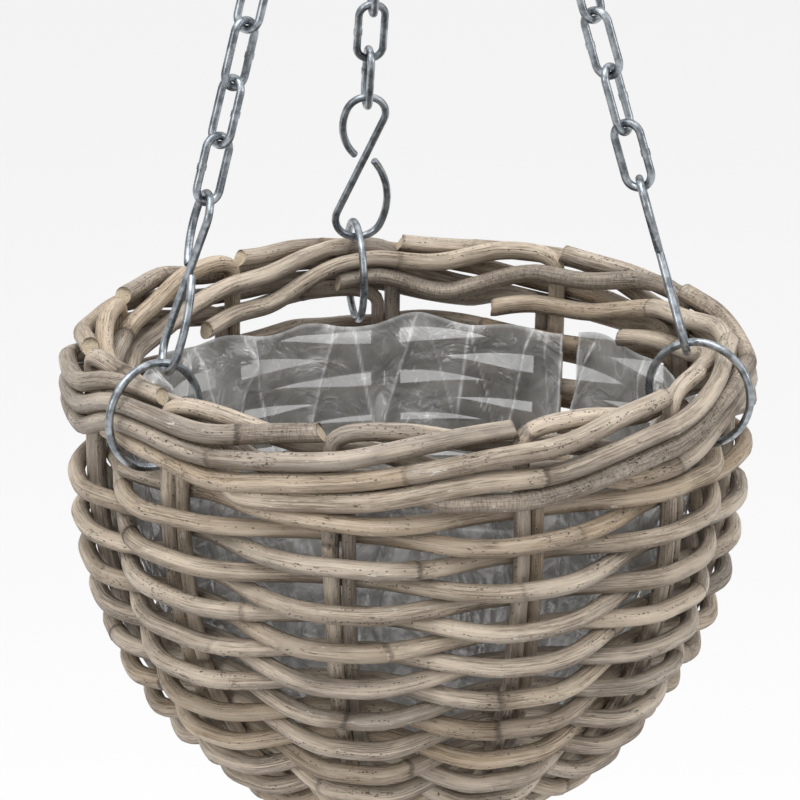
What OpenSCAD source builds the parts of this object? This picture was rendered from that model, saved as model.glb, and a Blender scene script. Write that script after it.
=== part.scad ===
// Hanging basket woven from rattan canes, with a clear liner, hung by three
// welded chains from one ring and one hook. Its origin is the point where the
// top hook bears on whatever it hangs from. Angles round the bowl run from the
// front (-Y) towards the right (+X).

/* [Bowl] */
// Width across the woven wall just under the border
bowl_d = 345.4; // [320:1:370]
// Run of a stake from the border down to its bend into the base, along its curve
wall_run = 204; // [190:1:212]
// Lean of the wall where that bend begins, from upright, in degrees
foot_lean = 55; // [50:1:62]
// Radius of the bend from the wall into the flat base
foot_r = 35; // [32:0.5:40]
// Width of the flat base, across the stakes where that bend ends
base_d = 132; // [124:0.5:140]

/* [Canes] */
// Stake pairs round the bowl, odd so that each row changes sides on the next
pair_count = 11; // [9:2:11]
// Direction of the first stake pair, in degrees
pair_az = -44.4; // [-60:1:-40]
// Diameter of a stake cane, which also makes the border
stake_d = 8.6; // [7.6:0.1:9.2]
// Diameter of a weaving cane
weaver_d = 9.2; // [8:0.1:9.4]
// Distance from one woven row to the next
row_pitch = 9.9; // [9.7:0.1:11]
// Air left between canes that lie on each other
cane_gap = 0.35; // [0.3:0.05:0.5]

/* [Border] */
// Height of the plaited border
border_h = 40; // [38:0.5:44]
// Width of the plaited border, from its outside to its inside
border_w = 28.6; // [28:0.2:30]
// Length over which a stake bends over into the border
bend_run = 34; // [28:1:38]
// How far below the border a stake starts to bend
bend_drop = 10; // [8:0.5:12]

/* [Base] */
// Diameter of a base stick
base_stick_d = 6.5; // [5.5:0.1:7]
// Diameter of the cane that weaves the base
base_weaver_d = 4.5; // [4:0.1:5]
// Distance from one round of the base to the next
base_pitch = 6; // [5.6:0.1:7]
// Radius at which the base weaving ends round the crossed sticks
hub_r = 26; // [25:0.5:30]
// Length of a stake that lies flat in the base
base_tuck = 6; // [5:0.5:8]

/* [Liner] */
// Thickness of the clear liner
liner_t = 0.6; // [0.4:0.1:1]
// Wire diameter of a staple
staple_d = 1.2; // [0.8:0.1:1.4]
// Width of a staple
staple_w = 11; // [8:0.5:13]

/* [Rings and hooks] */
// Diameter of all the galvanised wire
wire_d = 4; // [3.5:0.1:4.4]
// Air between two wires that bear on each other
wire_gap = 0.35; // [0.3:0.05:0.5]
// Air between the top ring and the first links, which lets the chains swing on it
top_gap = 0.8; // [0.7:0.05:0.9]
// How far a ring's centre lies inside the circle of stakes
ring_inset = 5.5; // [5:0.1:7]
// How far a ring's centre lies above the middle of the border
ring_lift = 1.8; // [1.5:0.1:3]
// Air between the border and the rings round it
ring_play = 0.35; // [0.3:0.05:1]
// Overall length of an S-hook
hook_len = 92; // [84:0.5:100]
// Width of a hook's upper loop
hook_top_w = 25; // [23:0.5:28]
// Width of a hook's lower loop
hook_low_w = 29; // [26:0.5:32]
// Turn of a hook's loop beyond its shank, in degrees
hook_turn = 236; // [225:1:245]

/* [Chain] */
// Length of a chain link
link_len = 36.5; // [34:0.5:40]
// Width of a chain link
link_w = 17.5; // [16.5:0.1:19]
// Diameter of a link's weld bead
weld_d = 4.7; // [4.5:0.1:5]
// Length of a link's weld bead
weld_len = 3; // [2:0.1:4]
// Direction of the left chain, in degrees
left_az = -52.7; // [-56:0.5:-50]
// Direction of the right chain, in degrees
right_az = 67.3; // [65:0.5:70]
// Direction of the rear chain, in degrees
rear_az = 190.5; // [189:0.5:192]
// Angle on the top ring from its lowest point to the side chains, in degrees
top_spread = 30; // [28:1:36]

/* [Hidden] */
links_per_chain = 13;
weaver_count = 6;
chain_names = ["left", "right", "rear"];
chain_azimuths = [left_az, right_az, rear_az];
chain_seats = [-top_spread, top_spread, 0];
hook_sides = [1, 1, -1];

// Sides of a cane's section, and facets of round wire in the preview
stake_sides = 5;
weaver_sides = 6;
base_sides = 5;
$fn = 40;

// Reach of a weaving cane to either side of the stakes, and circle of stakes
weave_reach = stake_d / 2 + weaver_d / 2 + cane_gap;
stake_r = bowl_d / 2 - weave_reach - weaver_d / 2;
pair_angle = 360 / pair_count;
pair_offset = (stake_d + cane_gap) / 2;
joint_gap = cane_gap;
wall_end_run = wall_run + foot_r * (90 - foot_lean) * PI / 180;

// Border section: an upright oval with round ends, as centre lines of canes. The
// run along it starts at its lowest point, goes out and up, over the top and down inside.
oval_r = (border_w - stake_d) / 2;
oval_half = (border_h - stake_d) / 2;
oval_side = 2 * (oval_half - oval_r);
oval_quarter = oval_r * PI / 2;
border_mid = border_h / 2;
// Canes pass a rising stake at this angle from the section's lowest or highest point
pass_angle = asin((stake_d + 2 * cane_gap) / oval_r);
low_pass = oval_r * pass_angle * PI / 180;
high_pass = 2 * oval_quarter + oval_side - low_pass;
side_step = (high_pass - low_pass) / 2;
// Where the canes lie along the oval at each pair they pass, from the first pair on
border_slots = [
    low_pass,
    low_pass + side_step,
    high_pass,
    high_pass + low_pass,
    high_pass + 2 * low_pass,
    high_pass + 2 * low_pass + side_step,
    high_pass + 2 * low_pass + 2 * side_step
];
// Canes change slots in this first share of the way from one pair to the next
climb_share = 0.8;
// A new outer cane comes out from behind the last one between these shares of the way
way_out_shares = [0.3, 0.88];
// Pairs passed when a cane of each kind bends over, and when it ends
outer_start = 0;
inner_start = 4;
outer_end = inner_start - (pair_offset + stake_d / 2 + joint_gap) / (stake_r * pair_angle * PI / 180);
inner_end = 6.3;
// How far the bend's second handle reaches back, as a share of its run
glide_share = 0.47;
bend_rings = 5;
border_ring_share = 0.18;
stake_rings = 14;
// Rings lie closer towards a stake's foot, by this power of their share of the run
crowding_share = 1.6;

// Rings round the border
ring_inner_r = norm([ring_inset, oval_half - oval_r + ring_lift]) + oval_r + stake_d / 2 + ring_play;
ring_r = ring_inner_r + wire_d / 2;
ring_place_r = stake_r - ring_inset;
ring_z = border_mid + ring_lift;
ring_bottom = ring_z - ring_inner_r - wire_d;

// Weaving starts just under the rings, half way before the first pair
first_row = -ring_bottom + weaver_d / 2 + 2 * cane_gap;
start_wave = -0.5;
wave_count = floor((wall_end_run - first_row) / row_pitch * pair_count);
// Half length of a weaving cane's flat run where it passes a pair or a base stick
pass_half = pair_offset + stake_d / 2;
base_pass_half = base_stick_d * 0.4;
// Place and height of the bend on the way from one side to the other
knot_share = 0.42;
knot_height_share = 0.55;

// Rings of wire, hooks and links
hook_top_r = (hook_top_w - wire_d) / 2;
hook_low_r = (hook_low_w - wire_d) / 2;
hook_span = hook_len - 2 * wire_d;
hook_centres = hook_len - wire_d - hook_top_r - hook_low_r;
hook_lean = asin((hook_top_r + hook_low_r) / hook_centres);
link_inner = link_len - 2 * wire_d;
link_r = (link_w - wire_d) / 2;
link_side = link_len - link_w;

// Hanging height: the tightest chain has the stated gaps, the others a little more
contacts = links_per_chain + 1;
chain_full = links_per_chain * link_inner + hook_span - top_gap;
chain_run = chain_full - contacts * wire_gap;
top_ring_z = wire_gap - hook_span - ring_inner_r;
chain_lean = asin((ring_place_r - ring_inner_r / 2) / chain_run);
seat_place_r = ring_place_r - ring_inner_r * sin(chain_lean);
seat_place_z = ring_z + ring_inner_r * cos(chain_lean);
function top_seat(k) = [ring_inner_r * sin(chain_seats[k]), 0, top_ring_z - ring_inner_r * cos(chain_seats[k])];
function low_seat_xy(k) = [seat_place_r * sin(chain_azimuths[k]), -seat_place_r * cos(chain_azimuths[k])];
function seat_reach(k) = norm(low_seat_xy(k) - [top_seat(k)[0], top_seat(k)[1]]);
low_seat_z = max([for (k = [0 : 2]) top_seat(k)[2] - sqrt(pow(chain_run, 2) - pow(seat_reach(k), 2))]);
bowl_z = low_seat_z - seat_place_z;

// Wall: the curve leans in more and more over the wall's run, and then a round bend takes
// it flat. The later it leans, the wider the base, so halving finds the curl at which the
// bend ends on the base.
wall_steps = 90;
wall_step = wall_end_run / wall_steps;
curl_shares = [0.2, 30];
curl_halvings = 24;
function total(v, i = 0, sum = 0) = i == len(v) ? sum : total(v, i + 1, sum + v[i]);
function lean_at(t, curl) =
    t < wall_run ? foot_lean * pow(max(0, t) / wall_run, curl) :
    min(90, foot_lean + (t - wall_run) / foot_r * 180 / PI);
function drawn_in(curl) =
    wall_step * total([for (i = [0 : wall_steps - 1]) sin(lean_at((i + 0.5) * wall_step, curl))]);
function curl_between(low, high, halvings) =
    let (middle = (low + high) / 2)
    halvings == 0 ? middle :
    drawn_in(middle) > stake_r - base_d / 2 ? curl_between(middle, high, halvings - 1) :
    curl_between(low, middle, halvings - 1);
wall_curl_share = curl_between(curl_shares[0], curl_shares[1], curl_halvings);
function wall_angle(t) = lean_at(t, wall_curl_share);
wall_table = [
    for (
        i = 0, r = stake_r, z = 0;
        i <= wall_steps;
        r = r - wall_step * sin(wall_angle((i + 0.5) * wall_step)),
        z = z - wall_step * cos(wall_angle((i + 0.5) * wall_step)),
        i = i + 1
    ) [r, z]
];
base_r = wall_table[wall_steps][0];
base_z = wall_table[wall_steps][1];
function between(a, b, s) = a * (1 - s) + b * s;
function table_at(s) = between(wall_table[floor(s)], wall_table[min(floor(s) + 1, wall_steps)], s - floor(s));
function wall_point(t) =
    t <= 0 ? [stake_r, -t] :
    t >= wall_end_run ? [base_r - (t - wall_end_run), base_z] :
    table_at(t / wall_step);
function wall_normal(t) = [cos(wall_angle(t)), -sin(wall_angle(t))];
function around(rz, az) = [rz[0] * sin(az), -rz[0] * cos(az), rz[1]];
function sideways(az) = [cos(az), sin(az), 0];
function pair_direction(k) = pair_az + k * pair_angle;

// Sweep of a round cane along points, its section carried along without twist
function unit(v) = v / norm(v);
function headings(pts) = [
    for (i = [0 : len(pts) - 1]) unit(pts[min(i + 1, len(pts) - 1)] - pts[max(i - 1, 0)])
];
function square_to(v, heading) = unit(v - (v * heading) * heading);
function section_axes(dirs, first) = [
    for (
        i = 0, n = square_to(first, dirs[0]);
        i < len(dirs);
        n = square_to(n, dirs[min(i + 1, len(dirs) - 1)]),
        i = i + 1
    ) n
];
module cane(pts, d, sides, first) {
    dirs = headings(pts);
    axes = section_axes(dirs, first);
    rings = len(pts);
    corners = [
        for (i = [0 : rings - 1], j = [0 : sides - 1])
            let (a = 360 * j / sides)
            pts[i] + d / 2 * (cos(a) * axes[i] + sin(a) * cross(dirs[i], axes[i]))
    ];
    walls = [
        for (i = [0 : rings - 2], j = [0 : sides - 1])
            let (
                a = i * sides + j,
                b = i * sides + (j + 1) % sides
            )
            each [[a, a + sides, b + sides], [a, b + sides, b]]
    ];
    near_end = [for (j = [0 : sides - 1]) j];
    far_end = [for (j = [sides - 1 : -1 : 0]) (rings - 1) * sides + j];
    polyhedron(points = corners, faces = concat(walls, [near_end, far_end]), convexity = 8);
}

// Point of the border's oval, out and up from its middle, at run u
function oval_point(u) =
    u < oval_quarter ?
        let (a = u / oval_r * 180 / PI)
        [oval_r * sin(a), -oval_side / 2 - oval_r * cos(a)] :
    u < oval_quarter + oval_side ?
        [oval_r, u - oval_quarter - oval_side / 2] :
    u < 3 * oval_quarter + oval_side ?
        let (a = (u - oval_quarter - oval_side) / oval_r * 180 / PI)
        [oval_r * cos(a), oval_side / 2 + oval_r * sin(a)] :
        [-oval_r, oval_side / 2 - (u - 3 * oval_quarter - oval_side)];
function eased(s) = let (c = min(1, max(0, s))) c * c * (3 - 2 * c);
// Where a cane lies in the section after n pairs: first it comes out, then it climbs
function way_out(n) = eased((n - way_out_shares[0]) / (way_out_shares[1] - way_out_shares[0]));
function slot_run(n) =
    between(border_slots[floor(n) - 1], border_slots[floor(n)], eased((n - floor(n)) / climb_share));
function section_point(n) =
    n < 1 ? let (p = oval_point(border_slots[0])) [p[0] * way_out(n), p[1]] :
    oval_point(slot_run(n));
// Point of the cane of pair k once it has gone n pairs round the border
function border_point(k, n, start) =
    let (p = section_point(n))
    around([stake_r + p[0], border_mid + p[1]], pair_direction(k + n - start));
function bend_point(p, s) =
    pow(1 - s, 3) * p[0] + 3 * s * pow(1 - s, 2) * p[1] + 3 * pow(s, 2) * (1 - s) * p[2] + pow(s, 3) * p[3];

// One whole stake: flat in the base, up the wall, over into the border. The right one of
// a pair makes the outside of the border, and the left one its top and inside.
function stake_path(k, left) =
    let (
        az = pair_direction(k),
        shift = left ? -pair_offset : pair_offset,
        start = left ? inner_start : outer_start,
        end = left ? inner_end : outer_end,
        bend_share = (shift + bend_run) / (stake_r * pair_angle * PI / 180),
        foot = border_mid + section_point(start)[1] - bend_drop,
        wall_end = wall_end_run + base_tuck,
        wall_pts = [
            for (i = [0 : stake_rings])
                let (t = between(wall_end, -foot, pow(i / stake_rings, crowding_share)))
                around(wall_point(t), az) + shift * sideways(az)
        ],
        last = wall_pts[stake_rings],
        handles = [
            last,
            last + [0, 0, bend_drop],
            border_point(k, start + bend_share * (1 - glide_share), start),
            border_point(k, start + bend_share, start)
        ],
        bend_pts = [for (i = [1 : bend_rings]) bend_point(handles, i / bend_rings)],
        border_rings = ceil((end - start - bend_share) / border_ring_share),
        border_pts = [
            for (i = [1 : border_rings])
                border_point(k, between(start + bend_share, end, i / border_rings), start)
        ]
    )
    concat(wall_pts, bend_pts, border_pts);
module stake(k, left) {
    cane(stake_path(k, left), stake_d, stake_sides, sideways(pair_direction(k)));
}
module stakes(from, to) {
    color("#9d9081")
    translate([0, 0, bowl_z])
    for (k = [from : to]) {
        stake(k, true);
        stake(k, false);
    }
}

// Weaving: wave n passes stake pair n in front when n is odd, behind when even
function wave_side(n) = n % 2 == 0 ? -1 : 1;
function wave_knots(from, to, r_at, half) = [
    for (n = [from : to - 1])
        let (
            flat = half / (r_at(n) * pair_angle * PI / 180),
            side = wave_side(n),
            bend = (0.5 - flat) * knot_share
        )
        each [
            [n + flat, side],
            [n + 0.5 - bend, side * knot_height_share],
            [n + 0.5 + bend, -side * knot_height_share],
            [n + 1 - flat, -side]
        ]
];
function row_run(n) = first_row + row_pitch * (n - start_wave) / pair_count;
function row_radius(n) = wall_point(row_run(n))[0];
function row_point(knot, run, reach) =
    around(wall_point(run) + knot[1] * reach * wall_normal(run), pair_direction(knot[0]));
row_r = function (n) row_radius(n);
// Joints fall behind a pair, as near as that allows to equal lengths
function joint_wave(i) = 2 * round(i * wave_count / weaver_count / 2);
function gap_share(n) = joint_gap / (row_radius(n) * pair_angle * PI / 180);
function pass_share(n) = pass_half / (row_radius(n) * pair_angle * PI / 180);
function weaver_path(i) =
    let (
        from = joint_wave(i - 1),
        to = joint_wave(i),
        start = i == 1 ?
            [[start_wave, knot_height_share], [start_wave / 2, -knot_height_share], [-pass_share(0), -1]] :
            [[from + gap_share(from), -1]],
        knots = concat(start, wave_knots(from, to, row_r, pass_half), [[to - gap_share(to), -1]])
    )
    [for (knot = knots) row_point(knot, row_run(knot[0]), weave_reach)];
module weaver(i) {
    path = weaver_path(i);
    color("#b3a48f")
    translate([0, 0, bowl_z])
    cane(path, weaver_d, weaver_sides, [0, 0, 1]);
}

// Base: sticks crossed in two layers open out into one stick under each pair
base_reach = base_stick_d / 2 + base_weaver_d / 2 + cane_gap;
base_edge_r = base_r - base_tuck - joint_gap;
base_start = wall_end_run + base_tuck + joint_gap + base_weaver_d / 2;
base_waves = floor((base_r - (base_start - wall_end_run) - hub_r) / base_pitch * pair_count);
stick_spacing = base_stick_d + cane_gap;
hub_half = 1.5 * stick_spacing;
stick_rings = 6;
// Arms by group: the group's own direction, its layer and its sticks' places
function base_run(n) = base_start + base_pitch * n / pair_count;
base_round_r = function (n) wall_point(base_run(n))[0];
function arm_point(k, group_az, place, layer, r) =
    let (
        s = eased((r - hub_half) / (hub_r - base_weaver_d - hub_half)),
        along = r * [sin(group_az), -cos(group_az), 0] + place * stick_spacing * sideways(group_az),
        radial = around([r, 0], pair_direction(k)),
        flat = between(along, radial, s)
    )
    flat + [0, 0, base_z + layer * (1 - s) * stick_spacing / 2];
function arm_path(k, group_az, place, layer, from) = [
    for (i = [0 : stick_rings]) arm_point(k, group_az, place, layer, between(from, base_edge_r, i / stick_rings))
];
function reversed(v) = [for (i = [len(v) - 1 : -1 : 0]) v[i]];
module through_stick(k, m, group_az, place, layer) {
    there = arm_path(k, group_az, place, layer, hub_half / 2);
    back = arm_path(m, group_az + 180, -place, layer, hub_half / 2);
    cane(concat(reversed(back), there), base_stick_d, base_sides, [0, 0, 1]);
}

// Orientation of a piece by its origin, its own X and its own Z
module oriented(origin, x, z) {
    y = cross(z, x);
    multmatrix([
        [x[0], y[0], z[0], origin[0]],
        [x[1], y[1], z[1], origin[1]],
        [x[2], y[2], z[2], origin[2]],
        [0, 0, 0, 1]
    ])
    children();
}
module wire_bar(length) {
    cylinder(d = wire_d, h = length, center = true);
}
module wire_arc(r, turn) {
    rotate_extrude(angle = turn)
    translate([r, 0])
    circle(d = wire_d);
}

// Chain geometry: each chain runs straight from the top ring to its own ring
function low_seat(k) = [low_seat_xy(k)[0], low_seat_xy(k)[1], low_seat_z];
function chain_dir(k) = unit(low_seat(k) - top_seat(k));
function chain_gap(k) = (chain_full - norm(low_seat(k) - top_seat(k))) / contacts;
function chain_side(k) = square_to(sideways(chain_azimuths[k]), chain_dir(k));
function chain_out(k) = cross(chain_dir(k), chain_side(k));
function seat_tangent(k) = [cos(chain_seats[k]), 0, sin(chain_seats[k])];
function folded(a) = a > 90 ? a - 180 : a < -90 ? a + 180 : a;
function chain_twist(k) =
    let (w = cross(seat_tangent(k), chain_dir(k)))
    folded(atan2(w * chain_side(k), w * chain_out(k)));
function link_turn(k, i) = (links_per_chain - i) * (90 + chain_twist(k) / (links_per_chain - 1));
function link_place(k, i) =
    top_seat(k) + chain_dir(k) * ((i - 1) * (link_inner - chain_gap(k)) - top_gap + link_inner / 2);
module chain_link(k, i) {
    a = link_turn(k, i);
    color("#9aa1a6")
    oriented(link_place(k, i), cos(a) * chain_out(k) + sin(a) * chain_side(k), -chain_dir(k)) {
        for (side = [-1, 1]) {
            translate([side * link_r, 0, 0])
            wire_bar(link_side);
            translate([0, 0, side * link_side / 2])
            rotate([side * 90, 0, 0])
            wire_arc(link_r, 180);
        }
        translate([link_r, 0, 0])
        cylinder(d = weld_d, h = weld_len, center = true);
    }
}

// S-hook in its own XZ plane, hung from the origin, its shank from upper right
module s_hook() {
    top_z = wire_d / 2 - hook_top_r;
    low_z = top_z - hook_centres;
    shank = hook_centres * cos(hook_lean);
    color("#9aa1a6") {
        translate([0, 0, top_z])
        rotate([90, 0, 0])
        rotate([0, 0, -hook_lean])
        wire_arc(hook_top_r, hook_turn);
        translate([0, 0, low_z])
        rotate([90, 0, 0])
        rotate([0, 0, 180 - hook_lean])
        wire_arc(hook_low_r, hook_turn);
        translate([0, 0, (top_z + low_z) / 2])
        translate([(hook_top_r - hook_low_r) / 2 * cos(hook_lean), 0, (hook_low_r - hook_top_r) / 2 * sin(hook_lean)])
        rotate([0, hook_lean, 0])
        wire_bar(shank);
    }
}
module chain_hook(k) {
    place = top_seat(k) + chain_dir(k) * (links_per_chain * (link_inner - chain_gap(k)) - top_gap);
    oriented(place, hook_sides[k] * chain_side(k), -chain_dir(k))
    s_hook();
}
module wire_ring() {
    color("#9aa1a6")
    rotate([90, 0, 0])
    wire_arc(ring_r, 360);
}
module border_ring(k) {
    translate([0, 0, bowl_z])
    oriented(around([ring_place_r, ring_z], chain_azimuths[k]), around([1, 0], chain_azimuths[k]), [0, 0, 1])
    wire_ring();
}

module top_hook() {
    rotate([0, 0, 90])
    s_hook();
}
module top_ring() {
    translate([0, 0, top_ring_z])
    wire_ring();
}
module base_sticks() {
    up_az = pair_direction(0) + pair_angle;
    side_az = up_az + 90;
    color("#9d9081")
    translate([0, 0, bowl_z]) {
        through_stick(0, 7, up_az, -1, 1);
        through_stick(1, 6, up_az, 0, 1);
        through_stick(2, 5, up_az, 1, 1);
        through_stick(3, 10, side_az, -1, -1);
        through_stick(4, 8, side_az, 1, -1);
        cane(arm_path(9, side_az + 180, 0, -1, -stick_spacing), base_stick_d, base_sides, [0, 0, 1]);
    }
}
module base_weaver() {
    knots = wave_knots(0, base_waves, base_round_r, base_pass_half);
    path = [for (knot = knots) row_point(knot, base_run(knot[0]), base_reach)];
    color("#b3a48f")
    translate([0, 0, bowl_z])
    cane(path, base_weaver_d, base_sides, [0, 0, 1]);
}

// Liner: one skin inside the weave, from just under the rings to the base
liner_steps = 14;
liner_out = weave_reach + weaver_d / 2 + cane_gap;
liner_top = first_row - weaver_d / 2;
function liner_curve(inset) = [
    for (i = [0 : liner_steps])
        let (t = between(liner_top, wall_end_run, i / liner_steps))
        wall_point(t) - inset * wall_normal(t)
];
module liner() {
    inner = liner_curve(liner_out + liner_t);
    outer = liner_curve(liner_out);
    color([0.85, 0.88, 0.9, 0.4])
    translate([0, 0, bowl_z])
    rotate_extrude()
    polygon(concat(outer, [[0, outer[liner_steps][1]], [0, inner[liner_steps][1]]], reversed(inner)));
}

// Staples: one at each pair that the first row passes behind
module staple(n) {
    run = row_run(n);
    az = pair_direction(n);
    seat = wall_point(run)[0] - liner_out - liner_t - staple_d / 2 - cane_gap / 2;
    reach = liner_out + liner_t + staple_d / 2 + cane_gap / 2 - weave_reach;
    half = (staple_w - staple_d) / 2;
    oriented(around([seat, wall_point(run)[1]], az), sideways(az), [0, 0, 1]) {
        rotate([0, 90, 0])
        cylinder(d = staple_d, h = 2 * half, center = true);
        for (side = [-1, 1])
            translate([side * half, 0, 0]) {
                sphere(d = staple_d);
                rotate([90, 0, 0])
                cylinder(d = staple_d, h = reach);
            }
    }
}
module staples() {
    color("#8d9296")
    translate([0, 0, bowl_z])
    for (n = [0 : 2 : pair_count - 1])
        staple(n);
}

top_hook();
top_ring();
for (k = [0 : 2]) {
    for (i = [1 : links_per_chain])
        chain_link(k, i);
    chain_hook(k);
    border_ring(k);
}
stakes(-2, 3);  // stakes_front
stakes(4, pair_count - 3);  // stakes_rear
for (i = [1 : weaver_count])
    weaver(i);
base_sticks();
base_weaver();
liner();
staples();
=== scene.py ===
# %% [markdown]
# # A hanging rattan basket
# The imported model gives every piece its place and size, in metres. This lesson dresses it: round
# canes with joints, streaks and pits, a crinkled clear liner, and galvanised wire.

import bpy
import numpy as np
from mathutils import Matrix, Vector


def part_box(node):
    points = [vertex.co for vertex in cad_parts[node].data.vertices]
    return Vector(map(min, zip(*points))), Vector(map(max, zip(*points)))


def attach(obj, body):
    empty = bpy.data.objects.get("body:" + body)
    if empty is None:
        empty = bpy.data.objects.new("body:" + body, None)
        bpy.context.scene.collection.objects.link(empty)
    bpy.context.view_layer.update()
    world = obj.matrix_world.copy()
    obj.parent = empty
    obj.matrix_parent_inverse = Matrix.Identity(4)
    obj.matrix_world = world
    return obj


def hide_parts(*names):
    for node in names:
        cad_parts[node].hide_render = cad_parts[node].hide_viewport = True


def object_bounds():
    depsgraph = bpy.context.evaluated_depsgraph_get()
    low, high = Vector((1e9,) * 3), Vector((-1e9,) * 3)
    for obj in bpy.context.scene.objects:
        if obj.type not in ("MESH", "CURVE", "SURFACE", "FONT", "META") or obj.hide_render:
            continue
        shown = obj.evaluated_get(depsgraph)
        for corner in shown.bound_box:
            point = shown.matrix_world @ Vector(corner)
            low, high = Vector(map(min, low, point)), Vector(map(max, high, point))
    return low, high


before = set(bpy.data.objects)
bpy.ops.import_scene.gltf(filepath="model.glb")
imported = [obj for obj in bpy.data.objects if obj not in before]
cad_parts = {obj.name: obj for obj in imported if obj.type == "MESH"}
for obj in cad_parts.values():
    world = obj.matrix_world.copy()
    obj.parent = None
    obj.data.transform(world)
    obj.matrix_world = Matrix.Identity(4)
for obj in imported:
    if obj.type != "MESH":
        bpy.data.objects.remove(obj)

cad_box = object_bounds()
MM = 0.001
print("model box", [round(c, 3) for corner in cad_box for c in corner])

# %% [markdown]
# ## The sizes that set the weave
# A basket is made on a plan: so many stakes, so thick, so far apart. The canes drawn here follow
# the same plan as the solids, so each one lies where its own solid does.

# %% Sizes of the bowl and its canes
bowl_d = 345.4 * MM
wall_run = 204 * MM
foot_lean = np.radians(55)
foot_r = 35 * MM
wall_curl_share = 1.50857
pair_count = 11
pair_az = np.radians(-44.4)
stake_d = 8.6 * MM
weaver_d = 9.2 * MM
row_pitch = 9.9 * MM
cane_gap = 0.35 * MM
border_h = 40 * MM
border_w = 28.6 * MM
bend_run = 34 * MM
bend_drop = 10 * MM
base_stick_d = 6.5 * MM
base_weaver_d = 4.5 * MM
base_pitch = 6 * MM
hub_r = 26 * MM
base_tuck = 6 * MM
wire_d = 4 * MM
ring_inset = 5.5 * MM
ring_lift = 1.8 * MM
chain_az = np.radians([-52.7, 67.3, 190.5])
weaver_count = 6

# %% What follows from them
weave_reach = stake_d / 2 + weaver_d / 2 + cane_gap
stake_r = bowl_d / 2 - weave_reach - weaver_d / 2
pair_angle = 2 * np.pi / pair_count
pair_offset = (stake_d + cane_gap) / 2
wall_end_run = wall_run + foot_r * (np.pi / 2 - foot_lean)
oval_r = (border_w - stake_d) / 2
oval_half = (border_h - stake_d) / 2
oval_side = 2 * (oval_half - oval_r)
oval_quarter = oval_r * np.pi / 2
border_mid = border_h / 2
low_pass = oval_r * np.arcsin((stake_d + 2 * cane_gap) / oval_r)
high_pass = 2 * oval_quarter + oval_side - low_pass
side_step = (high_pass - low_pass) / 2
ring_inner_r = np.hypot(ring_inset, oval_half - oval_r + ring_lift) + oval_r + stake_d / 2 + cane_gap
ring_bottom = border_mid + ring_lift - ring_inner_r - wire_d
first_row = -ring_bottom + weaver_d / 2 + 2 * cane_gap
start_wave = -0.5
wave_count = int((wall_end_run - first_row) / row_pitch * pair_count)
left_ring_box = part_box("left_ring")
bowl_z = (left_ring_box[0].z + left_ring_box[1].z) / 2 - border_mid - ring_lift
print("border's underside at", round(bowl_z, 4), "waves", wave_count)

# %% [markdown]
# ## The wall's curve
# Seen from the side, a stake leaves the border upright and turns in, slowly and then faster, until
# a round bend lays it flat in the base. Adding up many short steps of that turning line gives its
# radius and height, and interpolation reads them off at any distance along it.

# %% The stake line as a table of radius and height
wall_cells = 400
wall_step = wall_end_run / wall_cells
wall_mid = (np.arange(wall_cells) + 0.5) * wall_step


def wall_angle(t):
    """Angle from upright: the foot's lean times the share of the wall gone by, to a power.

    Past the wall it grows by the run over the bend's radius, up to a quarter turn.
    """
    wall = foot_lean * (np.clip(t, 0, wall_run) / wall_run) ** wall_curl_share
    return np.where(t < wall_run, wall, np.minimum(np.pi / 2, foot_lean + (t - wall_run) / foot_r))


wall_t = np.arange(wall_cells + 1) * wall_step
wall_r = stake_r - np.concatenate([[0], np.cumsum(np.sin(wall_angle(wall_mid))) * wall_step])
wall_z = -np.concatenate([[0], np.cumsum(np.cos(wall_angle(wall_mid))) * wall_step])
base_r, base_z = wall_r[-1], wall_z[-1]


def wall_point(t):
    """Radius and height at run t: straight up above the wall, flat inwards past its end."""
    r = np.interp(t, wall_t, wall_r) - np.maximum(t - wall_end_run, 0)
    z = np.interp(t, wall_t, wall_z) + np.maximum(-t, 0)
    return r, z


def around(r, az, z):
    """Points at radius r and height z over the bowl's foot, az turning from the front to the right."""
    r, az, z = np.broadcast_arrays(r, az, z)
    return np.stack([r * np.sin(az), -r * np.cos(az), z + bowl_z], -1)


def sideways(az):
    """Level direction along the wall, at right angles to the radius."""
    az = np.asarray(az, float)
    return np.stack([np.cos(az), np.sin(az), np.zeros_like(az)], -1)


def off_wall(t, az, lift):
    """Point at run t, standing off the stake line by lift, square to the wall."""
    r, z = wall_point(t)
    lean = wall_angle(t)
    return around(r + lift * np.cos(lean), az, z - lift * np.sin(lean))


print("base radius", round(base_r, 4), "depth of the wall", round(-base_z, 4))

# %% [markdown]
# ## Where the canes are free
# Canes are never laid quite evenly: they wander up and down by a millimetre or two. Only under a
# wire ring do they have to keep to their place. So one number says how free they are in each
# direction, and every wander is multiplied by it.

# %% Freedom between the rings
def eased(x):
    """Smooth step: x squared times three less two x, held to 0 to 1."""
    c = np.clip(x, 0, 1)
    return c * c * (3 - 2 * c)


def turned(az, centre):
    """Angle from centre to az, brought between minus and plus half a turn."""
    return (az - centre + np.pi) % (2 * np.pi) - np.pi


def freedom(az, reach=11):
    """0 within a few degrees of a ring, rising smoothly to 1 over so many degrees more."""
    az = np.asarray(az, float)
    nearest = np.min([np.abs(turned(az, ring)) for ring in chain_az], axis=0)
    return eased((np.degrees(nearest) - 3) / reach)


print("freedom in front and at the left ring", freedom(0.0), freedom(chain_az[0]))

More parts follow.
